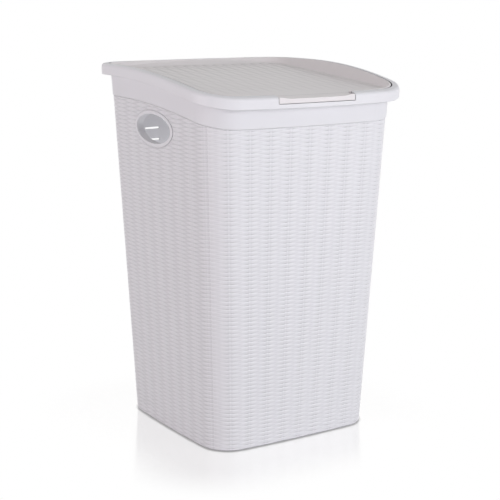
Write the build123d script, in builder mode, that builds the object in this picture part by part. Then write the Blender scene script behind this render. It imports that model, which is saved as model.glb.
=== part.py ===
"""Laundry hamper: a tapered tub with an inset lid that swings on two hinge pins.

X is the width, the front faces -Y, Z is up, and the origin is the middle of the base.
The rim, the collar and the lid's lip all follow one crest: level at the back, then a
single large arc that falls towards the front.
"""

from build123d import *
import os
from math import radians, sqrt, tan

os.makedirs("parts", exist_ok=True)

# Tub body, which narrows downwards from the rim. Millimetres and degrees throughout.
base_corner = 44.0
top_corner = 47.0
body_bow_share = 0.034
body_bands = 5
wall_draft = 2.6
wall = 2.4
floor_thickness = 2.6
foot_width = 9.0
foot_recess = 3.0
base_edge = 1.2

# Rim, collar and the crest that they follow. Levels are those at the back.
rim_width = 371.0
rim_bow = 8.5
rim_overhang = 12.8
rim_corner = 57.0
rim_level = 560.0
rim_height = 16.5
rim_round = 5.0
skirt_edge = 1.0
bead_width = 10.0
ledge_drop = 14.0
crest_flat = 95.5
front_drop = 34.0
collar_depth = 33.0
collar_proud = 2.2
collar_edge = 1.4

# Hand holes in the sides.
hole_length = 102.0
hole_height = 44.0
hole_drop = 89.0
hole_ring = 5.0
hole_ring_proud = 1.6
hole_ring_edge = 0.8
hole_lip_depth = 7.0

# Ventilation slots in the back wall: on each side a long column and a short one outside it.
vent_length = 27.0
vent_short_length = 11.0
vent_height = 3.1
vent_bridge = 8.4
vent_row_pitch = 18.6
vent_rows = 5
vent_drop = 107.7
vent_inset = 78.6

# Lid: a lip that follows the rim around a dished, flat, sloping panel.
lid_gap = 2.0
lid_back_gap = 1.4
lid_seat_gap = 0.3
lip_width = 2.2
lip_edge = 0.5
lip_land = 1.0
dish_gap = 2.9
dish_fall = 22.0
dish_fillet = 3.0
dish_back_run = 20.0
dish_back_rise = 12.0
panel_back_depth = 6.7
panel_front_depth = 2.3

# Finger tab of the lid and its notch in the rim.
tab_width = 133.0
tab_gap = 1.0
tab_face_gap = 0.3
tab_lip_height = 6.5
tab_lip_thickness = 2.4
tab_flare = 24.0
tab_floor_gap = 0.8
notch_corner = 2.0

# Hinge: knuckles of the lid between bosses of the rim.
hinge_side_inset = 91.0
hinge_inset = 7.5
pin_diameter = 4.0
pin_length = 60.0
pin_chamfer = 0.5
pin_press = 0.01
pin_play = 0.1
knuckle_width = 40.0
knuckle_wall = 2.0
knuckle_side_gap = 1.0
knuckle_gap = 0.7
arm_height = 3.6
boss_length = 10.0

# Sizes worked out from those above.
rim_reach = rim_width / 2
rim_half = rim_reach - rim_bow
base_half = rim_half - rim_overhang - rim_level * tan(radians(wall_draft))
margin = 30.0
span = rim_reach + margin
top_height = rim_level + margin
crest_y = rim_reach - crest_flat
crest_run = crest_y + rim_reach
crest_radius = (crest_run**2 + front_drop**2) / (2 * front_drop)
ledge_level = rim_level - ledge_drop
skirt_level = rim_level - rim_height
collar_level = skirt_level - collar_depth
hole_level = rim_level - hole_drop
vent_top = rim_level - vent_drop
seat_half = rim_half - bead_width
seat_corner = rim_corner - bead_width
lid_half = seat_half - lid_gap
lid_corner = seat_corner - lid_gap
knuckle_radius = pin_diameter / 2 + knuckle_wall
hinge_x = rim_half - hinge_side_inset
hinge_y = rim_reach - hinge_inset
hinge_z = rim_level - knuckle_radius
notch_half = knuckle_width / 2 + knuckle_side_gap


def body_half(height):
    """Half width of the drafted body between its corner lines."""
    return base_half + height * tan(radians(wall_draft))


def body_corner(height):
    """Corner radius of the body, which opens towards the top."""
    return base_corner + (top_corner - base_corner) * height / rim_level


def crest_fall(y):
    """How far the crest has fallen below its level at the back."""
    run = max(0.0, crest_y - y)
    return crest_radius - sqrt(crest_radius**2 - run**2)


def panel_height(y):
    """Height of the lid's panel, which slopes between its depths below the rim."""
    slope = (front_drop + panel_front_depth - panel_back_depth) / rim_width
    return rim_level - panel_back_depth - slope * (rim_reach - y)


vent_x = body_half(vent_top) - vent_inset
vent_short_x = vent_x + (vent_length + vent_short_length) / 2 + vent_bridge
mouth_half = body_half(ledge_level - crest_fall(-rim_half)) - wall
dish_run = dish_fall * (lid_half - mouth_half + dish_gap) / (ledge_drop - lip_land)
dish_half = lid_half - lip_width - dish_run
dish_corner = lid_corner - lip_width - dish_run
tab_y = -rim_reach
tab_edge_level = panel_height(tab_y)
tab_top_level = rim_level - crest_fall(tab_y)
tab_half = rim_half - tab_face_gap
tab_corner = rim_corner - tab_face_gap
notch_floor = tab_edge_level - tab_lip_height - tab_floor_gap


def bowed_square(height, half, corner, bow=rim_bow, back_gap=0.0):
    """A square with bowed sides and round corners; a back gap draws its rear side in."""
    rear = half - back_gap
    middle = -back_gap / 2
    with BuildSketch(Plane.XY.offset(height)) as sketch:
        with BuildLine():
            ThreePointArc((-half, -half), (0, -half - bow), (half, -half))
            ThreePointArc((half, -half), (half + bow, middle), (half, rear))
            ThreePointArc((half, rear), (0, rear + bow), (-half, rear))
            ThreePointArc((-half, rear), (-half - bow, middle), (-half, -half))
        make_face()
        fillet(sketch.vertices(), corner)
    return sketch.sketch


def body_section(height, growth=0.0):
    """The body's plan at a height, grown outwards all round; its bow keeps its share."""
    half = body_half(height) + growth
    return bowed_square(height, half, body_corner(height) + growth, body_bow_share * half)


def drafted(growth, bottom=0.0):
    """Sections of the drafted body, from its bottom to above the rim."""
    rise = (top_height - bottom) / body_bands
    return [body_section(bottom + band * rise, growth) for band in range(body_bands + 1)]


def crest_line(level):
    """The crest at a level: straight at the back, then the falling arc to the front."""
    middle = (crest_y - span) / 2
    Line((span, level), (crest_y, level))
    ThreePointArc(
        (crest_y, level),
        (middle, level - crest_fall(middle)),
        (-span, level - crest_fall(-span)),
    )


def crest_band(bottom, top):
    """Side view of the band between two crests."""
    with BuildSketch(Plane.YZ) as sketch:
        with BuildLine():
            crest_line(bottom)
            crest_line(top)
            Line((span, bottom), (span, top))
            Line((-span, bottom - crest_fall(-span)), (-span, top - crest_fall(-span)))
        make_face()
    return sketch.sketch


def below_crest(level):
    """Side view of everything below a crest."""
    with BuildSketch(Plane.YZ) as sketch:
        with BuildLine():
            crest_line(level)
            Line((span, level), (span, -margin))
            Line((span, -margin), (-span, -margin))
            Line((-span, -margin), (-span, level - crest_fall(-span)))
        make_face()
    return sketch.sketch


def above_panel(thickness=0.0):
    """Side view of all above the lid's panel and its rear ramp, or above their underside."""
    foot = rim_half - dish_back_run
    with BuildSketch(Plane.YZ) as sketch:
        with BuildLine():
            Polyline(
                (-span, panel_height(-span) - thickness),
                (foot, panel_height(foot) - thickness),
                (foot + dish_back_run, panel_height(foot) + dish_back_rise - thickness),
                (foot + dish_back_run, top_height),
                (-span, top_height),
                close=True,
            )
        make_face()
    return sketch.sketch


def keep(profile):
    """Keep only what lies within a side view, right across the part."""
    extrude(profile, amount=span, both=True, mode=Mode.INTERSECT)


def dish_shape(growth=0.0, drop=0.0, thickness=0.0):
    """The dish: walls sloping in from the crest to the panel; grown, it is its outer side."""
    half, corner = lid_half - lip_width + growth, lid_corner - lip_width + growth
    bottom = rim_level - dish_fall - drop
    with BuildPart() as shape:
        extrude(bowed_square(0, half, corner, back_gap=lid_back_gap), amount=top_height)
        keep(crest_band(bottom, top_height))
        chamfer(crest_edges(shape, bottom), dish_fall, dish_run)
        keep(above_panel(thickness))
    return shape.part


def crest_edges(part, level):
    """Outline edges of a part that lie on a crest."""
    def on_crest(edge):
        points = [edge @ share for share in (0.0, 0.5, 1.0)]
        lies = all(abs(p.Z - level + crest_fall(p.Y)) < 0.02 for p in points)
        return lies and Vector(points[1].X, points[1].Y).length > 0.7 * base_half

    return part.edges().filter_by(on_crest)


def hole_view(growth=0.0):
    """Side view of the hand hole, grown outwards."""
    with BuildSketch(Plane.YZ) as sketch:
        with Locations((0, hole_level)):
            Ellipse(hole_length / 2 + growth, hole_height / 2 + growth)
    return sketch.sketch


# Collar: the smooth band above the weave, standing a little proud of the body.
with BuildPart() as collar:
    loft(drafted(collar_proud), ruled=True)
    keep(crest_band(collar_level, ledge_level))
    chamfer(crest_edges(collar, collar_level), collar_edge)

# Rim: a round-shouldered bead over a skirt, hollow below and open inside.
with BuildPart() as channel:
    extrude(bowed_square(0, rim_half - wall, rim_corner - wall), amount=top_height)
    keep(below_crest(rim_level - wall))

with BuildPart() as rim:
    extrude(bowed_square(0, rim_half, rim_corner), amount=top_height)
    keep(crest_band(skirt_level, rim_level))
    fillet(crest_edges(rim, rim_level), rim_round)
    chamfer(crest_edges(rim, skirt_level), skirt_edge)
    add(channel, mode=Mode.SUBTRACT)
    extrude(bowed_square(0, seat_half, seat_corner), amount=top_height, mode=Mode.SUBTRACT)

# Seat: what the lid drops into, from the ledge upwards.
with BuildPart() as seat:
    extrude(bowed_square(0, seat_half, seat_corner), amount=top_height)
    keep(crest_band(ledge_level, top_height))

# Ledge: the step down from the bead and the shelf under the lid's edge.
with BuildPart() as ledge:
    extrude(bowed_square(0, seat_half + wall, seat_corner + wall), amount=top_height)
    keep(crest_band(ledge_level - wall, rim_level - wall / 2))
    add(seat, mode=Mode.SUBTRACT)

# Bosses: the channel is solid on both sides of each hinge notch.
with BuildPart() as bosses:
    with Locations((0, hinge_y, ledge_level)):
        with GridLocations(2 * hinge_x, 1, 2, 1):
            with GridLocations(2 * notch_half + boss_length, 1, 2, 1):
                Box(boss_length, 4 * bead_width, 4 * ledge_drop)
    extrude(bowed_square(0, rim_half - wall / 2, rim_corner), amount=top_height, mode=Mode.INTERSECT)
    keep(crest_band(ledge_level - wall, rim_level - wall / 2))
    extrude(bowed_square(0, seat_half + wall / 2, seat_corner), amount=top_height, mode=Mode.SUBTRACT)

# Hand-hole rings: a raised bead outside and a turned-in lip inside, on the wall's curve.
with BuildPart() as hole_beads:
    loft(drafted(hole_ring_proud), ruled=True)
    loft(drafted(-wall / 2), ruled=True, mode=Mode.SUBTRACT)
    keep(hole_view(hole_ring))
    chamfer(hole_beads.edges().group_by(SortBy.LENGTH)[-1], hole_ring_edge)

with BuildPart() as hole_lips:
    loft(drafted(-wall / 2), ruled=True)
    loft(drafted(-wall - hole_lip_depth), ruled=True, mode=Mode.SUBTRACT)
    keep(hole_view(wall))

# Pocket in the front of the rim for the lid's finger tab, with its own floor and ends.
with BuildPart() as tab_pocket:
    with Locations((0, -rim_half, notch_floor - wall)):
        Box(
            tab_width + 2 * (tab_gap + wall),
            rim_half,
            top_height,
            align=(Align.CENTER, Align.CENTER, Align.MIN),
        )
    extrude(bowed_square(0, rim_half - wall / 2, rim_corner), amount=top_height, mode=Mode.INTERSECT)
    keep(below_crest(rim_level - wall / 2))
    extrude(bowed_square(0, seat_half - wall, seat_corner), amount=top_height, mode=Mode.SUBTRACT)
    add(seat, mode=Mode.SUBTRACT)

with BuildPart() as tab_notch:
    with BuildSketch(Plane.XZ) as notch_face:
        with Locations((0, notch_floor)):
            Rectangle(tab_width + 2 * tab_gap, top_height, align=(Align.CENTER, Align.MIN))
        fillet(notch_face.vertices().group_by(Axis.Z)[0], notch_corner)
    extrude(amount=span)
    extrude(bowed_square(0, seat_half, seat_corner), amount=2 * top_height, mode=Mode.SUBTRACT)

# Tub: one moulding of body, collar, rim and ledge.
with BuildPart() as tub:
    loft(drafted(0, base_edge), ruled=True)
    loft([body_section(0, -base_edge), body_section(base_edge)])
    keep(below_crest(ledge_level))
    add(collar)
    loft(drafted(-wall, floor_thickness + foot_recess), ruled=True, mode=Mode.SUBTRACT)
    add(rim)
    add(ledge)
    loft(drafted(-wall, floor_thickness + foot_recess), ruled=True, mode=Mode.SUBTRACT)
    add(bosses)
    add(hole_beads)
    add(hole_lips)
    extrude(hole_view(), amount=span, both=True, mode=Mode.SUBTRACT)
    extrude(body_section(0, -foot_width), amount=foot_recess, mode=Mode.SUBTRACT)
    add(tab_pocket)
    add(tab_notch, mode=Mode.SUBTRACT)
    # Notches in the back of the rim for the lid's knuckles, and the bores for the pins.
    with Locations((0, hinge_y, hinge_z)):
        with GridLocations(2 * hinge_x, 1, 2, 1):
            reach = knuckle_radius + knuckle_gap
            Box(2 * notch_half, 4 * bead_width, 2 * reach, mode=Mode.SUBTRACT)
            Cylinder(
                pin_diameter / 2 + pin_press,
                2 * (notch_half + boss_length + 1),
                rotation=(0, 90, 0),
                mode=Mode.SUBTRACT,
            )
    # Ventilation slots in the back wall.
    with BuildSketch(Plane.XZ.offset(-base_half)):
        with Locations((0, vent_top - (vent_rows - 1) * vent_row_pitch / 2)):
            with GridLocations(2 * vent_x, vent_row_pitch, 2, vent_rows):
                SlotOverall(vent_length, vent_height)
            with GridLocations(2 * vent_short_x, vent_row_pitch, 2, vent_rows):
                SlotOverall(vent_short_length, vent_height)
    extrude(amount=-span, mode=Mode.SUBTRACT)

tub.part.label = "tub"
export_step(tub.part, "parts/tub.step")

# Hinge pins, pressed into the bosses.
for side, name in ((-1, "hinge_pin_left"), (1, "hinge_pin_right")):
    with BuildPart(Plane.YZ.offset(side * hinge_x)) as pin:
        with Locations((hinge_y, hinge_z)):
            Cylinder(pin_diameter / 2, pin_length)
        chamfer(pin.edges().filter_by(GeomType.CIRCLE), pin_chamfer)
    pin.part.label = name
    export_step(pin.part, f"parts/{name}.step")

# Skirt of the lid, which stands on the ledge.
with BuildPart() as lid_skirt:
    extrude(bowed_square(0, lid_half, lid_corner, back_gap=lid_back_gap), amount=top_height)
    keep(crest_band(ledge_level + lid_seat_gap, rim_level))
    skirt_inner = bowed_square(0, lid_half - lip_width, lid_corner - lip_width, back_gap=lid_back_gap)
    extrude(skirt_inner, amount=top_height, mode=Mode.SUBTRACT)

# Finger tab: it carries the panel out over the rim and turns down in front of the pocket.
with BuildPart() as tab:
    with Locations((0, -rim_half, 0)):
        Box(tab_width, rim_half, 2 * top_height)
    extrude(bowed_square(0, tab_half, tab_corner), amount=top_height, mode=Mode.INTERSECT)
    keep(crest_band(ledge_level + lid_seat_gap, rim_level))
    keep(above_panel(wall))
    extrude(bowed_square(0, dish_half, dish_corner), amount=top_height, mode=Mode.SUBTRACT)

with BuildPart() as tab_lip:
    with Locations((0, -rim_half, tab_edge_level - tab_lip_height)):
        Box(tab_width, rim_half, top_height, align=(Align.CENTER, Align.CENTER, Align.MIN))
    extrude(bowed_square(0, tab_half, tab_corner), amount=top_height, mode=Mode.INTERSECT)
    keep(below_crest(rim_level))
    lip_inner = bowed_square(0, tab_half - tab_lip_thickness, tab_corner - tab_lip_thickness)
    extrude(lip_inner, amount=top_height, mode=Mode.SUBTRACT)

with BuildPart() as tab_mouth:
    with BuildSketch(Plane.XZ.offset(dish_half)):
        with BuildLine():
            for side in (-1, 1):
                outer, inner = side * tab_width / 2, side * (tab_width / 2 - tab_flare)
                high, low = tab_top_level, tab_edge_level
                Bezier((outer, high), ((outer + inner) / 2, high), ((outer + inner) / 2, low), (inner, low))
                Line((outer, high), (outer, top_height))
                Line((inner, low), (inner, 0))
            Line((-tab_width / 2, top_height), (tab_width / 2, top_height))
            Line((-tab_width / 2 + tab_flare, 0), (tab_width / 2 - tab_flare, 0))
        make_face()
    extrude(amount=span)
    keep(above_panel())

# Arms and knuckles of the hinge.
with BuildPart() as knuckles:
    with Locations((0, hinge_y, hinge_z)):
        with GridLocations(2 * hinge_x, 1, 2, 1):
            Box(
                knuckle_width,
                hinge_y - lid_half + lip_width,
                arm_height,
                align=(Align.CENTER, Align.MAX, Align.MIN),
            )
            Cylinder(knuckle_radius, knuckle_width, rotation=(0, 90, 0))
    arm_inner = bowed_square(0, lid_half - lip_width / 2, lid_corner, back_gap=lid_back_gap)
    extrude(arm_inner, amount=top_height, mode=Mode.SUBTRACT)

# Hollow of the dish, with a round foot where its walls meet the panel.
with BuildPart() as dish:
    add(dish_shape())
    panel = dish.faces().filter_by(lambda face: face.normal_at().Z < -0.99)
    fillet(panel.edges(), dish_fillet)

# Lid: the dish and its skirt, the finger tab in front and the knuckles behind.
with BuildPart() as lid:
    add(dish_shape(lip_width, lip_land, wall))
    keep(below_crest(rim_level))
    add(lid_skirt)
    chamfer(crest_edges(lid, rim_level), lip_edge)
    add(dish, mode=Mode.SUBTRACT)
    add(tab)
    add(tab_lip)
    add(tab_mouth, mode=Mode.SUBTRACT)
    add(knuckles)
    with Locations((0, hinge_y, hinge_z)):
        Cylinder(pin_diameter / 2 + pin_play, 2 * span, rotation=(0, 90, 0), mode=Mode.SUBTRACT)

lid.part.label = "lid"
export_step(lid.part, "parts/lid.step")
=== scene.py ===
"""White moulded laundry hamper: woven relief on the tub and the lid, plastics, floor and lights."""

from math import radians, tan

import bpy
import numpy as np
from bpy.props import FloatProperty, IntProperty, PointerProperty, StringProperty
from mathutils import Matrix, Vector


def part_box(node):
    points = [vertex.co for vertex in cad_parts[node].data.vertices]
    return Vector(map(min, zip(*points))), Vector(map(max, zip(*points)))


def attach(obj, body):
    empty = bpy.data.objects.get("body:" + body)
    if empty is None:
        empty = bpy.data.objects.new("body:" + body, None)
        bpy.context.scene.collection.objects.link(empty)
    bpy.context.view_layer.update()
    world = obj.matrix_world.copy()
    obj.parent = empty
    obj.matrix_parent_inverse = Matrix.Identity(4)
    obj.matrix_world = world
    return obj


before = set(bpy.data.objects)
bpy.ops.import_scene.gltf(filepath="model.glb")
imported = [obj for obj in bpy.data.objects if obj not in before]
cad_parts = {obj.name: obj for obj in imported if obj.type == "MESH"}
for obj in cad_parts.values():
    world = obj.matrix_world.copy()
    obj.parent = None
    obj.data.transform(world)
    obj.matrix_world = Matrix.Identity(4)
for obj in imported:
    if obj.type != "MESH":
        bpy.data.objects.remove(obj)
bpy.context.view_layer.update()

bl_info = {
    "name": "Laundry Hamper",
    "version": (1, 0, 0),
    "blender": (4, 5, 0),
    "location": "View3D > Sidebar > Hamper",
    "description": "Dresses the hamper's frame with its woven relief, plastics and studio",
    "category": "Object",
}

TUB_LOW, TUB_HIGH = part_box("tub")
RIM_LEVEL = TUB_HIGH.z
RIM_REACH = (TUB_HIGH.x - TUB_LOW.x) / 2
SIDES = ("front", "right", "back", "left")
# A point inside the hamper, from which every skin faces away.
INSIDE = Vector((0, 0, 0.25))

# The skins meet beside each corner as at a mould's parting line: the front and back skins reach
# past the corner's middle by this many mesh columns, and the side skins stop short by as many.
COLUMNS_PER_STAKE = 10
WRAP_COLUMNS = 3
# Where a skin changes to meet its neighbour, as a count of stakes from the side's middle.
SIDE_END = (4.0, 4.13)
FRONT_END = (4.76, 4.87)
# The front and back skins end this high; the side skins dip this far, with faint painted shade.
END_LIP, END_DIP, END_PAINTED_SHADE = 0.0009, 0.0002, 0.12

# The skin's width as a share of the rim's, the fall of a stake's face at its edge, and the least
# that the skin stands off the wall before it is pinched.
SKIN_SHARE, STAKE_FALL, LEAST_LIFT = 0.85, 0.0002, 0.00003
# Distance from a stake, in stake spacings, over which a strand that lies flat on it turns away,
# with the flat form's share, and over which the strand's edges grow shallow.
FLAT_REACH, FLAT_SHARE, WAVE_SHARE = (0.10, 0.26), 0.3, 0.7
EDGE_REACH = (0.15, 0.48)
# Columns stand this much closer beside a stake, and none moves that is midway between two.
CROWDING, CROWD_GROWTH = 0.42, 1.16
# The strands are pinched beside a stake: how wide, how deep and how dark its painted shade.
PINCH_REACH, PINCH_DEPTH, PINCH_PAINTED_SHADE = 0.0012, 0.00004, 0.10
# Height above the skin's middle over which a groove's painted shade fades; on the sides, how dark.
FRONT_GROOVE_SHADE = (0.00015, 0.00045)
SIDE_GROOVE_SHADE, SIDE_PAINTED_SHADE = (0.0003, 0.0008), 0.36
# Distance from a stake over which the painted shade of the front and the back weakens to half.
STAKE_SHADE = (0.004, 0.0165)

# A skin runs this far behind the collar's edge; the front's stops lower by a share of the drop.
COLLAR_LAP, FRONT_STOP = 0.002, 0.66
# Distances from the collar's edge, the floor, the hand hole and the vents over which the relief
# fades out, and at which the skin is cut away.
COLLAR_FADE, COLLAR_CUT, FLOOR_FADE = 0.0003, 0.0022, 0.0012
HOLE_FADE, HOLE_CUT = (0.0056, 0.0070), 0.0004
VENT_FADE, VENT_CUT = (0.0003, 0.0011), 0.0002
# How far a faded skin lies inside the wall that carries it.
WALL_SINK, PANEL_SINK = 0.0008, 0.0004

# The vents of the back wall: five rows of a long and a short slot, mirrored.
VENT_TOP, VENT_PITCH, VENT_ROWS, VENT_HALF = 0.4523, 0.0186, 5, 0.00155
VENT_COLUMNS = ((0.0807, 0.0135), (0.1081, 0.0055))

# The lid's flat panel: half width, half length, middle, corner radius, level and slope.
PANEL_REACH_X, PANEL_REACH_Y, PANEL_MIDDLE, PANEL_CORNER = 0.1555, 0.1590, -0.0035, 0.024
PANEL_LEVEL, PANEL_SLOPE = 0.5385, radians(4.57)
PANEL_COLUMNS, PANEL_ROWS = 240, 160
# Distances from the panel's outline over which its relief fades and painted shade darkens its
# frame.
PANEL_FADE, FRAME_FADE = (-0.004, -0.0005), (-0.0050, -0.0030)
# How dark the painted shade is in the lid's grooves and along the panel's frame.
LID_GROOVE_SHADE, FRAME_PAINTED_SHADE = 0.45, 0.8
# The relief rises from nothing to half at the front, and from half to full towards the back.
FRONT_RISE, BACK_RISE = (-0.150, -0.090), (-0.05, 0.13)
# How far left of the middle the strands are counted from, and the least that they stand up.
STRAND_START, PANEL_LIFT = 0.4, 0.00012

# Softboxes: name, place, width, power and tint.
SOFTBOXES = (
    ("key_softbox", (1.6, -2.6, 0.85), 1.5, 37.0, "#FBFAFF"),
    ("front_softbox", (0.0, -3.0, 0.9), 1.5, 19.5, "#FBFAFF"),
    ("side_softbox", (-2.9, -0.2, 0.85), 1.2, 31.2, "#FFF5FA"),
    ("rear_softbox", (1.0, 2.9, 0.9), 1.5, 22.0, "#FFFFFF"),
)
SOFTBOX_AIM = Vector((0, 0, 0.28))
# Light that the thin white wall lets through to the inside: place, power and size.
GLOW_PLACE, GLOW_POWER, GLOW_SIZE = (0, 0, 0.30), 0.49, 0.10

# The floor's board: half of the hamper's square foot, the distance outside it over which the
# board fades to plain white, and the lacquer's share of gloss.
FOOT_REACH, BOARD_FADE, BOARD_SHEEN = 0.14, (0.05, 0.17), 0.35
# Overhead air: its strength straight up, and how steeply upward a direction is as it grows.
AIR_STRENGTH, AIR_RISE = 0.51, (0.1, 0.9)

# The camera's place, its lens, and which ways its right hand and its view point.
CAMERA_PLACE, CAMERA_LENS = (-1.05461, -1.63427, 0.67687), 90.39
CAMERA_RIGHT, CAMERA_AHEAD = (0.83951, -0.54333, 0.00375), (0.53243, 0.82125, -0.20509)


# ---------------------------------------------------------------- sizes and colours

class HamperSizes(bpy.types.PropertyGroup):
    """Sizes of the woven relief and of the walls that carry it."""
    wall_draft: FloatProperty(name="Wall Draft", description="Lean of the tub's walls",
        default=radians(2.6), subtype="ANGLE")
    rim_overhang: FloatProperty(name="Rim Overhang",
        description="Rim beyond the body at rim level", default=0.0213, unit="LENGTH", precision=4)
    bow_share: FloatProperty(name="Bow Share", description="Bow of a side over its half width",
        default=0.034)
    base_corner: FloatProperty(name="Base Corner", description="Corner radius at the floor",
        default=0.044, unit="LENGTH", precision=4)
    top_corner: FloatProperty(name="Top Corner", description="Corner radius at rim level",
        default=0.047, unit="LENGTH", precision=4)
    collar_level: FloatProperty(name="Collar Level",
        description="Lower edge of the collar at the back",
        default=0.5105, unit="LENGTH", precision=4)
    crest_y: FloatProperty(name="Crest Start", description="Where the crest begins to fall",
        default=0.090, unit="LENGTH", precision=4)
    front_drop: FloatProperty(name="Front Drop", description="Fall of the crest at the front",
        default=0.034, unit="LENGTH", precision=4)
    strand: FloatProperty(name="Strand Pitch", description="Height of one woven strand",
        default=0.0031, unit="LENGTH", precision=4)
    stakes: IntProperty(name="Stakes", description="Upright stakes on each side", default=9)
    stake_width: FloatProperty(name="Stake Width", description="Width of a stake",
        default=0.0037, unit="LENGTH", precision=4)
    stake_height: FloatProperty(name="Stake Height",
        description="A stake's face above the skin's middle",
        default=0.0005, unit="LENGTH", precision=5)
    strand_round: FloatProperty(name="Strand Roundness", description="Crown of a strand",
        default=0.0006, unit="LENGTH", precision=5)
    strand_wave: FloatProperty(name="Strand Wave", description="Rise and fall of a strand",
        default=0.0004, unit="LENGTH", precision=5)
    skin_depth: FloatProperty(name="Skin Depth", description="The skin's middle above the wall",
        default=0.00035, unit="LENGTH", precision=5)
    rows_per_strand: IntProperty(name="Rows per Strand", description="Mesh rows in a strand",
        default=6)
    hole_length: FloatProperty(name="Hand Hole Length", description="Length of a hand hole",
        default=0.102, unit="LENGTH", precision=4)
    hole_height: FloatProperty(name="Hand Hole Height", description="Height of a hand hole",
        default=0.044, unit="LENGTH", precision=4)
    hole_level: FloatProperty(name="Hand Hole Level", description="Middle of a hand hole",
        default=0.471, unit="LENGTH", precision=4)
    lid_strand: FloatProperty(name="Lid Strand Pitch", description="Width of a strand on the lid",
        default=0.0092, unit="LENGTH", precision=4)
    lid_stake: FloatProperty(name="Lid Stake Pitch",
        description="Spacing of the lid's cross stakes", default=0.052, unit="LENGTH", precision=4)
    lid_relief: FloatProperty(name="Lid Relief", description="Height of the lid's relief",
        default=0.0007, unit="LENGTH", precision=5)


class HamperColours(bpy.types.PropertyGroup):
    """Colours of the plastics and the floor, as sRGB hex values."""
    tub: StringProperty(name="Tub", description="White of the tub", default="#E9E9EC")
    lid: StringProperty(name="Lid", description="White of the lid", default="#EAE6E6")
    pin: StringProperty(name="Pin", description="Natural acetal of the pins", default="#E4E2DB")
    floor: StringProperty(name="Floor", description="Tone of the board under its lacquer",
        default="#7C7C7C")
    floor_bounce: StringProperty(name="Floor Bounce",
        description="Tone of the light that the floor throws back", default="#D8D8D8")


# ---------------------------------------------------------------- materials

def linear(hex_colour):
    """An sRGB hex value as a linear colour with full alpha."""
    parts = [int(hex_colour[i:i + 2], 16) / 255 for i in (1, 3, 5)]
    return [p / 12.92 if p <= 0.04045 else ((p + 0.055) / 1.055) ** 2.4 for p in parts] + [1.0]


def add_node(tree, kind, inputs=None, **settings):
    """Add a node; inputs maps a socket's name to a value or to another node's output."""
    node = tree.nodes.new(kind)
    for key, value in settings.items():
        setattr(node, key, value)
    for key, value in (inputs or {}).items():
        if isinstance(value, bpy.types.NodeSocket):
            tree.links.new(value, node.inputs[key])
        else:
            node.inputs[key].default_value = value
    return node


def empty_tree(owner):
    """Switch a material or a world to nodes and clear its tree."""
    owner.use_nodes = True
    owner.node_tree.nodes.clear()
    return owner.node_tree


def moulded_plastic(name, hex_colour, roughness, grain, ior=1.49):
    """Injection-moulded plastic: an even tone with faint flow clouds and a fine satin grain."""
    material = bpy.data.materials.new(name)
    tree = empty_tree(material)
    colour = linear(hex_colour)
    place = add_node(tree, "ShaderNodeTexCoord")
    # Flow clouds in the melt, about 6 cm across, change the tone by a percent or so.
    clouds = add_node(tree, "ShaderNodeTexNoise",
        {"Vector": place.outputs["Object"], "Scale": 16.0, "Detail": 2.0, "Roughness": 0.5})
    tone = add_node(tree, "ShaderNodeMix", {"Factor": clouds.outputs["Fac"]}, data_type="RGBA")
    tone.inputs[6].default_value = [c * 0.985 for c in colour[:3]] + [1.0]
    tone.inputs[7].default_value = [min(1.0, c * 1.01) for c in colour[:3]] + [1.0]
    # Painted shade: the colour darkens by each skin's stored shade in its grooves, and in narrow
    # gaps.
    painted_shade = add_node(tree, "ShaderNodeAttribute", attribute_name="painted_shade")
    shade_scale = add_node(tree, "ShaderNodeMapRange",
        {"Value": painted_shade.outputs["Fac"], "To Min": 1.0, "To Max": 0.50})
    # Painted shade in narrow gaps: ambient occlusion within 4 mm darkens the tone down to 0.62.
    nearby_occlusion = add_node(tree, "ShaderNodeAmbientOcclusion", {"Distance": 0.004}, samples=6)
    gap = add_node(tree, "ShaderNodeMapRange", {"Value": nearby_occlusion.outputs["AO"],
        "From Min": 0.35, "From Max": 0.85, "To Min": 0.62, "To Max": 1.0})
    shade_scale = add_node(tree, "ShaderNodeMath",
        {0: shade_scale.outputs["Result"], 1: gap.outputs["Result"]}, operation="MULTIPLY")
    tone = add_node(tree, "ShaderNodeVectorMath",
        {0: tone.outputs[2], "Scale": shade_scale.outputs["Value"]}, operation="SCALE")
    # Satin grain of the mould; real grain is 0.1 mm and is drawn at about 0.7 mm so it shows.
    satin = add_node(tree, "ShaderNodeTexNoise",
        {"Vector": place.outputs["Object"], "Scale": 1400.0, "Detail": 2.0, "Roughness": 0.6})
    gloss = add_node(tree, "ShaderNodeMapRange", {"Value": clouds.outputs["Fac"],
        "To Min": roughness - 0.03, "To Max": roughness + 0.03})
    bump = add_node(tree, "ShaderNodeBump",
        {"Height": satin.outputs["Fac"], "Strength": grain, "Distance": 0.0001})
    shader = add_node(tree, "ShaderNodeBsdfPrincipled", {
        "Base Color": tone.outputs["Vector"], "Roughness": gloss.outputs["Result"],
        "Normal": bump.outputs["Normal"], "IOR": ior})
    add_node(tree, "ShaderNodeOutputMaterial", {"Surface": shader.outputs["BSDF"]})
    return material


def dress(piece, material):
    """Give a piece one material on every slot."""
    if not piece.data.materials:
        piece.data.materials.append(material)
    for index in range(len(piece.material_slots)):
        piece.material_slots[index].material = material


# ---------------------------------------------------------------- the wall's form

def crest_fall(sizes, y):
    """How far the crest has fallen at a depth: nothing at the back, then one arc."""
    run = np.maximum(0.0, sizes.crest_y - y)
    full = sizes.crest_y + RIM_REACH
    radius = (full ** 2 + sizes.front_drop ** 2) / (2 * sizes.front_drop)
    return radius - np.sqrt(radius ** 2 - run ** 2)


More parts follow.
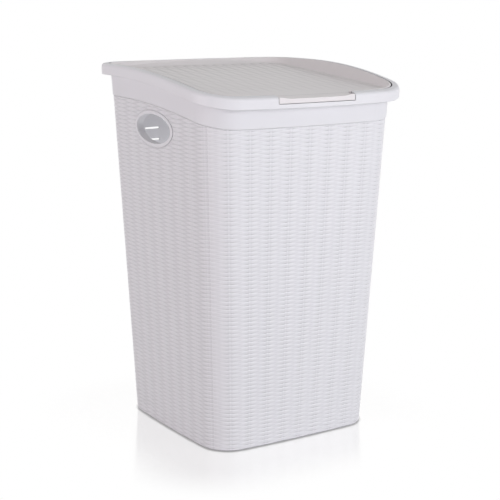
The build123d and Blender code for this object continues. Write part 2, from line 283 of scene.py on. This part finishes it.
def wall_outline(sizes, height, share):
    """Points and outward normals of the front wall's outline; share is 1 at a corner's middle."""
    half = RIM_REACH - sizes.rim_overhang - (RIM_LEVEL - height) * tan(sizes.wall_draft)
    bow = sizes.bow_share * half
    corner = sizes.base_corner + (sizes.top_corner - sizes.base_corner) * height / RIM_LEVEL
    radius = (half ** 2 + bow ** 2) / (2 * bow)
    centre = radius - half - bow
    pivot = (np.sqrt(2 * (radius - corner) ** 2 - centre ** 2) - centre) / 2
    turn = np.arctan2(pivot, pivot + centre)
    length = radius * turn + corner * (np.pi / 4 - turn)
    along = np.abs(share) * length
    on_side = along <= radius * turn
    angle = np.where(on_side, along / radius, turn + (along - radius * turn) / corner)
    x = np.where(on_side, radius * np.sin(angle), pivot + corner * np.sin(angle))
    y = np.where(on_side, centre - radius * np.cos(angle), -pivot - corner * np.cos(angle))
    side = np.sign(share)
    return side * x, y, side * np.sin(angle), -np.cos(angle)


def ellipse_growth(sizes, y, z):
    """Rough distance outside the hand hole's edge."""
    a, b = sizes.hole_length / 2, sizes.hole_height / 2
    low, high = np.zeros_like(y), np.full_like(y, 0.6)
    level = z - sizes.hole_level
    for _ in range(24):
        middle = (low + high) / 2
        outside = (y / (a + middle)) ** 2 + (level / (b + middle)) ** 2 > 1
        low, high = np.where(outside, middle, low), np.where(outside, high, middle)
    inside = (y / a) ** 2 + (level / b) ** 2 < 1
    return np.where(inside, -0.001, low)


def vent_distance(x, z):
    """Distance outside the nearest vent of the back wall, at most 1 m."""
    nearest = np.full(np.broadcast(x, z).shape, 1.0)
    for row in range(VENT_ROWS):
        gap_z = np.abs(z - VENT_TOP + VENT_PITCH * row) - VENT_HALF
        for middle, half in VENT_COLUMNS:
            nearest = np.minimum(nearest, np.maximum(np.abs(np.abs(x) - middle) - half, gap_z))
    return nearest


def panel_border(x, y):
    """Distance outside the lid panel's rounded outline, negative inside."""
    gap_x = np.abs(x) - PANEL_REACH_X + PANEL_CORNER
    gap_y = np.abs(y - PANEL_MIDDLE) - PANEL_REACH_Y + PANEL_CORNER
    return np.hypot(np.maximum(gap_x, 0), np.maximum(gap_y, 0)) - PANEL_CORNER


# ---------------------------------------------------------------- weaving

def smooth_step(value, low, high):
    """0 below low, 1 above high and a smooth rise between them."""
    t = np.clip((value - low) / (high - low), 0.0, 1.0)
    return t * t * (3 - 2 * t)


def plain_weave(across, along, pitch, crown, wave, parity, least_edge, flatness, spread):
    """Relief of strands that pass over and under stakes, at whole numbers along the strands.

    least_edge is the share of its edge's depth that a strand keeps midway between two stakes,
    flatness how square its section is, and spread how much it widens over a stake.
    """
    swing = np.cos(np.pi * along)
    near = np.abs(along - np.round(along))
    flat = (1 - smooth_step(near, *FLAT_REACH)) * np.sign(swing)
    swing = WAVE_SHARE * swing + FLAT_SHARE * flat
    edge_depth = 1 - (1 - least_edge) * smooth_step(near, *EDGE_REACH)
    strand = np.floor(across / pitch)
    relief = np.full(np.broadcast(across, along).shape, -1.0)
    for step in (-1, 0, 1):
        number = strand + step
        rise = swing * np.where((number + parity) % 2 == 0, 1.0, -1.0)
        breadth = pitch * (0.50 + spread * np.maximum(0.0, rise))
        offset = np.abs(across - (number + 0.5) * pitch) / breadth
        relief = np.maximum(relief, wave * rise + crown * (1 - edge_depth * offset ** flatness))
    return relief


def closer_to_stakes(sizes, share):
    """Crowd evenly spaced columns towards the stakes."""
    count = share * sizes.stakes / 2
    near = count - np.round(count)
    near = near * (CROWDING + CROWD_GROWTH * np.abs(near))
    return (np.round(count) + near) * 2 / sizes.stakes


def start_grid(name, columns, rows):
    """A flat grid, added by itself, ready to be laid on a wall."""
    if bpy.context.object and bpy.context.object.mode != "OBJECT":
        bpy.ops.object.mode_set(mode="OBJECT")
    bpy.ops.object.select_all(action="DESELECT")
    bpy.ops.mesh.primitive_grid_add(x_subdivisions=columns, y_subdivisions=rows, size=2)
    piece = bpy.context.object
    piece.name = name
    piece.data.name = name
    return piece


def grid_points(piece):
    """The grid's points as shares from -1 to 1 in both ways."""
    points = np.empty(len(piece.data.vertices) * 3)
    piece.data.vertices.foreach_get("co", points)
    return points.reshape(-1, 3)[:, 0], points.reshape(-1, 3)[:, 1]


def place_points(piece, x, y, z):
    """Move the piece's points to their places."""
    piece.data.vertices.foreach_set("co", np.stack([x, y, z], axis=1).ravel())
    piece.data.update()


def store_painted_shade(piece, shade_amount):
    """Store each point's painted shade, deepest in a groove, by which the plastic darkens its tone.
    """
    shade_values = piece.data.attributes.new("painted_shade", "FLOAT", "POINT")
    shade_values.data.foreach_set("value", shade_amount)


def drop_faces(piece, unwanted):
    """Delete the faces that touch any unwanted point."""
    mesh = piece.data
    corners = np.empty(len(mesh.polygons) * 4, int)
    mesh.polygons.foreach_get("vertices", corners)
    chosen = unwanted[corners.reshape(-1, 4)].any(axis=1)
    for part in (mesh.vertices, mesh.edges):
        part.foreach_set("select", np.zeros(len(part), bool))
    mesh.polygons.foreach_set("select", chosen)
    bpy.ops.object.mode_set(mode="EDIT")
    bpy.ops.mesh.select_mode(type="FACE")
    bpy.ops.mesh.delete(type="FACE")
    bpy.ops.object.mode_set(mode="OBJECT")


def face_outwards(piece):
    """Turn the skin's faces away from the hamper's inside."""
    bpy.ops.object.mode_set(mode="EDIT")
    bpy.ops.mesh.select_all(action="SELECT")
    bpy.ops.mesh.normals_make_consistent(inside=False)
    bpy.ops.object.mode_set(mode="OBJECT")
    face = piece.data.polygons[len(piece.data.polygons) // 2]
    if face.normal.dot(face.center - INSIDE) < 0:
        piece.data.flip_normals()


def finish_skin(piece, material):
    """Turn a laid skin outwards, dress it and shade it smooth."""
    face_outwards(piece)
    dress(piece, bpy.data.materials[material])
    bpy.ops.object.shade_smooth()


def unraised(relief, middle, fade):
    """1 where the relief lies low, and 0 where it has risen past the fade above the middle."""
    return 1 - smooth_step(relief, middle + fade[0], middle + fade[1])


def skin_relief(sizes, side, z, count):
    """Relief of a side's skin above the wall, and each point's painted shade, deepest in a groove.
    """
    relief = plain_weave(z, count, sizes.strand, sizes.strand_round, sizes.strand_wave,
        SIDES.index(side), least_edge=0.5, flatness=6, spread=0.42)
    # A stake's flat face shows between the strands that pass over it.
    aside = np.abs(count - np.round(count)) * 2 * RIM_REACH * SKIN_SHARE / sizes.stakes
    stake = sizes.stake_height - (2 * aside / sizes.stake_width) ** 6 * STAKE_FALL
    relief = np.maximum(np.maximum(relief, stake), LEAST_LIFT - sizes.skin_depth)
    relief = relief + sizes.skin_depth
    if side in ("left", "right"):
        # This painted shade is set wider and fainter than the front's, for the look under flat
        # light.
        painted_shade = SIDE_PAINTED_SHADE * unraised(relief, sizes.skin_depth, SIDE_GROOVE_SHADE)
    else:
        # Painted shade in the grooves, at full strength beside a stake and half as strong away from
        # it.
        beside_stake = 0.5 + 0.5 * (1 - smooth_step(aside, *STAKE_SHADE))
        painted_shade = beside_stake * unraised(relief, sizes.skin_depth, FRONT_GROOVE_SHADE)
    # The strands dip a little beside a stake's edge, with a faint painted shade there.
    pinch = 1 - smooth_step(np.abs(aside - sizes.stake_width / 2), 0.0, PINCH_REACH)
    painted_shade = np.maximum(painted_shade, PINCH_PAINTED_SHADE * pinch)
    relief = relief - PINCH_DEPTH * pinch
    # Where they meet, the front and back skins stand proud and the side skins dip under them.
    if side in ("left", "right"):
        # The side skins' dip under the front and back skins takes a faint painted shade.
        end = smooth_step(np.abs(count), *SIDE_END)
        return relief - END_DIP * end, np.maximum(painted_shade, END_PAINTED_SHADE * end)
    end = smooth_step(np.abs(count), *FRONT_END)
    return relief + (END_LIP - relief) * end, painted_shade * (1 - end)


def woven_side(sizes, side):
    """The woven skin of one side of the tub, from corner to corner and from base to collar."""
    bottom = sizes.strand / 3
    # The front's collar hangs lower, so the front's skin can stop lower too.
    stop = sizes.front_drop * FRONT_STOP if side == "front" else 0.0
    top = sizes.collar_level + COLLAR_LAP - stop
    step = sizes.strand / sizes.rows_per_strand
    rows = int(round((top - bottom) / step))
    top = bottom + rows * step
    straight = COLUMNS_PER_STAKE * sizes.stakes
    columns = straight + 2 * (WRAP_COLUMNS if side in ("front", "back") else -WRAP_COLUMNS)
    piece = start_grid("weave_" + side, columns, rows)
    share, level = grid_points(piece)
    share = closer_to_stakes(sizes, share * columns / straight)
    z = bottom + (top - bottom) * (level + 1) / 2
    x, y, out_x, out_y = wall_outline(sizes, z, share)
    relief, painted_shade = skin_relief(sizes, side, z, share * sizes.stakes / 2)
    for _ in range(SIDES.index(side)):
        x, y, out_x, out_y = -y, x, -out_y, out_x
    # The relief fades out at the collar, the floor, the hand hole's ring and the vents.
    edge = sizes.collar_level - crest_fall(sizes, y)
    show = 1 - smooth_step(z, edge - COLLAR_FADE, edge + COLLAR_FADE)
    show *= smooth_step(z, bottom, bottom + FLOOR_FADE)
    unwanted = z > edge + COLLAR_CUT
    if side in ("left", "right"):
        growth = ellipse_growth(sizes, y, z)
        show *= smooth_step(growth, *HOLE_FADE)
        unwanted |= growth < HOLE_CUT
    if side == "back":
        gap = vent_distance(x, z)
        show *= smooth_step(gap, *VENT_FADE)
        unwanted |= gap < VENT_CUT
    store_painted_shade(piece, painted_shade * show)
    lift = relief * show - WALL_SINK * (1 - show)
    place_points(piece, x + out_x * lift, y + out_y * lift, z)
    drop_faces(piece, unwanted)
    return piece


def woven_panel(sizes):
    """The flat woven skin of the lid's panel."""
    piece = start_grid("weave_lid", PANEL_COLUMNS, PANEL_ROWS)
    across, along = grid_points(piece)
    x = PANEL_REACH_X * across
    y = PANEL_MIDDLE + PANEL_REACH_Y * along
    # Strands run from front to back and pass over stakes that lie across the panel.
    relief = plain_weave(x + STRAND_START, y / sizes.lid_stake, sizes.lid_strand,
        0.55 * sizes.lid_relief, 0.45 * sizes.lid_relief, 0,
        least_edge=0.9, flatness=2.5, spread=0.2)
    border = panel_border(x, y)
    show = 1 - smooth_step(border, *PANEL_FADE)
    calm = smooth_step(y, *FRONT_RISE) * (0.5 + 0.5 * smooth_step(y, *BACK_RISE))
    # Painted shade in the lid's grooves, fading in with the relief from the front.
    painted_shade = LID_GROOVE_SHADE * calm * show * unraised(relief, 0.0, (0.0, 0.6 * sizes.lid_relief))
    # A faint painted shade line frames the weave where the panel meets the dished wall.
    store_painted_shade(piece, np.maximum(painted_shade, FRAME_PAINTED_SHADE * smooth_step(border, *FRAME_FADE)))
    relief = PANEL_LIFT + np.maximum(relief, 0) * calm
    lift = relief * show - PANEL_SINK * (1 - show)
    place_points(piece, x, y, PANEL_LEVEL + y * tan(PANEL_SLOPE) + lift)
    drop_faces(piece, border > 0.0)
    return piece


# ---------------------------------------------------------------- operators

class HAMPER_OT_plastics(bpy.types.Operator):
    """Give the tub, the lid and the hinge pins their moulded plastics"""
    bl_idname = "hamper.plastics"
    bl_label = "Plastics"

    def execute(self, context):
        colours = context.scene.hamper_colours
        # Polypropylene, injection moulded in a satin mould: a soft, wide sheen on even white.
        tub = moulded_plastic("polypropylene_white_satin", colours.tub, 0.42, 0.10)
        lid = moulded_plastic("polypropylene_warm_white_satin", colours.lid, 0.40, 0.10)
        # Acetal rod, turned smooth: a tighter sheen on a creamy white.
        pin = moulded_plastic("acetal_natural_smooth", colours.pin, 0.28, 0.02, ior=1.48)
        dress(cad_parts["tub"], tub)
        dress(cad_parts["lid"], lid)
        for name in ("hinge_pin_left", "hinge_pin_right"):
            dress(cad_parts[name], pin)
        return {"FINISHED"}


class HAMPER_OT_wall_weave(bpy.types.Operator):
    """Lay the woven relief on the four sides of the tub"""
    bl_idname = "hamper.wall_weave"
    bl_label = "Wall Weave"

    def execute(self, context):
        for side in SIDES:
            piece = woven_side(context.scene.hamper_sizes, side)
            finish_skin(piece, "polypropylene_white_satin")
            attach(piece, "tub")
        return {"FINISHED"}


class HAMPER_OT_lid_weave(bpy.types.Operator):
    """Lay the flat woven relief on the panel of the lid"""
    bl_idname = "hamper.lid_weave"
    bl_label = "Lid Weave"

    def execute(self, context):
        piece = woven_panel(context.scene.hamper_sizes)
        finish_skin(piece, "polypropylene_warm_white_satin")
        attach(piece, "lid")
        return {"FINISHED"}


class HAMPER_OT_stage(bpy.types.Operator):
    """Set up the floor, the lights, the world and the camera"""
    bl_idname = "hamper.stage"
    bl_label = "Stage"

    def execute(self, context):
        scene = context.scene
        self.floor(scene.hamper_colours)
        lamps = [self.softbox(*row) for row in SOFTBOXES]
        # The rear softbox lifts the back without a glare across the lid.
        lamps[-1].visible_glossy = False
        self.wall_glow()
        self.world(scene)
        self.camera(scene)
        scene.view_settings.view_transform = "Standard"
        return {"FINISHED"}

    def floor(self, colours):
        """A wide round board under the hamper."""
        bpy.ops.object.select_all(action="DESELECT")
        bpy.ops.mesh.primitive_circle_add(vertices=96, radius=60.0, fill_type="NGON",
            location=(0, 0, 0))
        floor = bpy.context.object
        floor.name = "floor"
        floor.data.materials.append(self.floor_material(colours))

    def softbox(self, name, place, width, power, tint):
        """A square softbox that faces the middle of the hamper."""
        bpy.ops.object.light_add(type="AREA", location=place)
        lamp = bpy.context.object
        lamp.name = name
        lamp.data.size = width
        lamp.data.energy = power
        lamp.data.color = linear(tint)[:3]
        lamp.rotation_euler = (SOFTBOX_AIM - Vector(place)).to_track_quat("-Z", "Y").to_euler()
        lamp.visible_camera = False
        return lamp

    def wall_glow(self):
        """A soft lamp inside, for the light that comes through the thin white wall."""
        bpy.ops.object.light_add(type="POINT", location=GLOW_PLACE)
        glow = bpy.context.object
        glow.name = "wall_glow"
        glow.data.energy = GLOW_POWER
        glow.data.shadow_soft_size = GLOW_SIZE
        glow.visible_camera = False

    def floor_material(self, colours):
        """White lacquered board: near the hamper it takes shadow, partly painted, and a faint
        reflection.
        """
        material = bpy.data.materials.new("lacquered_board_white")
        tree = empty_tree(material)
        place = add_node(tree, "ShaderNodeTexCoord")
        # Distance outside the square foot, over which the board fades to plain white.
        away = add_node(tree, "ShaderNodeVectorMath", {0: place.outputs["Object"]},
            operation="ABSOLUTE")
        away = add_node(tree, "ShaderNodeVectorMath",
            {0: away.outputs["Vector"], 1: (FOOT_REACH, FOOT_REACH, 0.0)}, operation="SUBTRACT")
        away = add_node(tree, "ShaderNodeVectorMath",
            {0: away.outputs["Vector"], 1: (0.0, 0.0, 0.0)}, operation="MAXIMUM")
        away = add_node(tree, "ShaderNodeVectorMath", {0: away.outputs["Vector"]},
            operation="LENGTH")
        far = add_node(tree, "ShaderNodeMapRange", {"Value": away.outputs["Value"],
            "From Min": BOARD_FADE[0], "From Max": BOARD_FADE[1]},
            interpolation_type="SMOOTHSTEP")
        # Painted contact shadow: the white dims where ambient occlusion finds the hamper within 6
        # mm.
        nearby_occlusion = add_node(tree, "ShaderNodeAmbientOcclusion", {"Distance": 0.006})
        painted_contact_shadow = add_node(tree, "ShaderNodeMapRange", {"Value": nearby_occlusion.outputs["AO"],
            "From Min": 0.5, "From Max": 0.90, "To Min": 0.38, "To Max": 0.865})
        board = add_node(tree, "ShaderNodeBsdfDiffuse", {"Color": linear(colours.floor)})
        white = add_node(tree, "ShaderNodeEmission",
            {"Color": (1.0, 0.995, 0.991, 1.0), "Strength": painted_contact_shadow.outputs["Result"]})
        lifted = add_node(tree, "ShaderNodeAddShader",
            {0: board.outputs["BSDF"], 1: white.outputs["Emission"]})
        sheen = add_node(tree, "ShaderNodeBsdfGlossy", {"Color": (1, 1, 1, 1), "Roughness": 0.11})
        near = add_node(tree, "ShaderNodeMixShader",
            {0: BOARD_SHEEN, 1: lifted.outputs["Shader"], 2: sheen.outputs["BSDF"]})
        plain = add_node(tree, "ShaderNodeEmission", {"Color": (1, 1, 1, 1), "Strength": 1.0})
        seen = add_node(tree, "ShaderNodeMixShader", {0: far.outputs["Result"],
            1: near.outputs["Shader"], 2: plain.outputs["Emission"]})
        # Only what is seen is white: the light that it bounces is that of a dull board.
        path = add_node(tree, "ShaderNodeLightPath")
        dull = add_node(tree, "ShaderNodeBsdfDiffuse", {"Color": linear(colours.floor_bounce)})
        either = add_node(tree, "ShaderNodeMath", {0: path.outputs["Is Camera Ray"],
            1: path.outputs["Is Glossy Ray"]}, operation="MAXIMUM")
        mixed = add_node(tree, "ShaderNodeMixShader", {0: either.outputs["Value"],
            1: dull.outputs["BSDF"], 2: seen.outputs["Shader"]})
        add_node(tree, "ShaderNodeOutputMaterial", {"Surface": mixed.outputs["Shader"]})
        return material

    def world(self, scene):
        """Studio air from overhead, and a white background for the camera and for gloss."""
        scene.world = bpy.data.worlds.new("studio")
        tree = empty_tree(scene.world)
        path = add_node(tree, "ShaderNodeLightPath")
        either = add_node(tree, "ShaderNodeMath", {0: path.outputs["Is Camera Ray"],
            1: path.outputs["Is Glossy Ray"]}, operation="MAXIMUM")
        either = add_node(tree, "ShaderNodeMath", {0: either.outputs["Value"],
            1: path.outputs["Is Transmission Ray"]}, operation="MAXIMUM")
        # Air from overhead leaves the grooves between strands dark.
        aim = add_node(tree, "ShaderNodeTexCoord")
        height = add_node(tree, "ShaderNodeSeparateXYZ", {"Vector": aim.outputs["Generated"]})
        level = add_node(tree, "ShaderNodeMapRange", {"Value": height.outputs["Z"],
            "From Min": AIR_RISE[0], "From Max": AIR_RISE[1], "To Min": 0.0,
            "To Max": AIR_STRENGTH})
        air = add_node(tree, "ShaderNodeBackground",
            {"Color": (1, 1, 1, 1), "Strength": level.outputs["Result"]})
        seen = add_node(tree, "ShaderNodeBackground", {"Color": (1, 1, 1, 1), "Strength": 1.0})
        mixed = add_node(tree, "ShaderNodeMixShader", {0: either.outputs["Value"],
            1: air.outputs["Background"], 2: seen.outputs["Background"]})
        add_node(tree, "ShaderNodeOutputWorld", {"Surface": mixed.outputs["Shader"]})

    def camera(self, scene):
        """A long lens in front and to the left, a little above the rim."""
        bpy.ops.object.camera_add()
        camera = bpy.context.object
        camera.name = "camera"
        right = Vector(CAMERA_RIGHT).normalized()
        forward = Vector(CAMERA_AHEAD).normalized()
        up = right.cross(forward).normalized()
        right = forward.cross(up)
        turned = Matrix((right, up, -forward)).transposed()
        camera.matrix_world = Matrix.LocRotScale(Vector(CAMERA_PLACE), turned, None)
        camera.data.lens = CAMERA_LENS
        camera.data.sensor_width = 36.0
        camera.data.clip_end = 200.0
        scene.camera = camera


class HAMPER_PT_panel(bpy.types.Panel):
    """Sidebar panel that lists the hamper's steps"""
    bl_label = "Laundry Hamper"
    bl_idname = "HAMPER_PT_panel"
    bl_space_type = "VIEW_3D"
    bl_region_type = "UI"
    bl_category = "Hamper"

    def draw(self, context):
        for step in STEPS:
            self.layout.operator(step.bl_idname)


STEPS = (HAMPER_OT_plastics, HAMPER_OT_wall_weave, HAMPER_OT_lid_weave, HAMPER_OT_stage)
CLASSES = (HamperSizes, HamperColours) + STEPS + (HAMPER_PT_panel,)


def register():
    for cls in CLASSES:
        bpy.utils.register_class(cls)
    bpy.types.Scene.hamper_sizes = PointerProperty(type=HamperSizes)
    bpy.types.Scene.hamper_colours = PointerProperty(type=HamperColours)


def unregister():
    del bpy.types.Scene.hamper_sizes
    del bpy.types.Scene.hamper_colours
    for cls in reversed(CLASSES):
        bpy.utils.unregister_class(cls)


def main():
    register()
    bpy.ops.hamper.plastics()
    bpy.ops.hamper.wall_weave()
    bpy.ops.hamper.lid_weave()
    bpy.ops.hamper.stage()


if __name__ == "__main__":
    main()
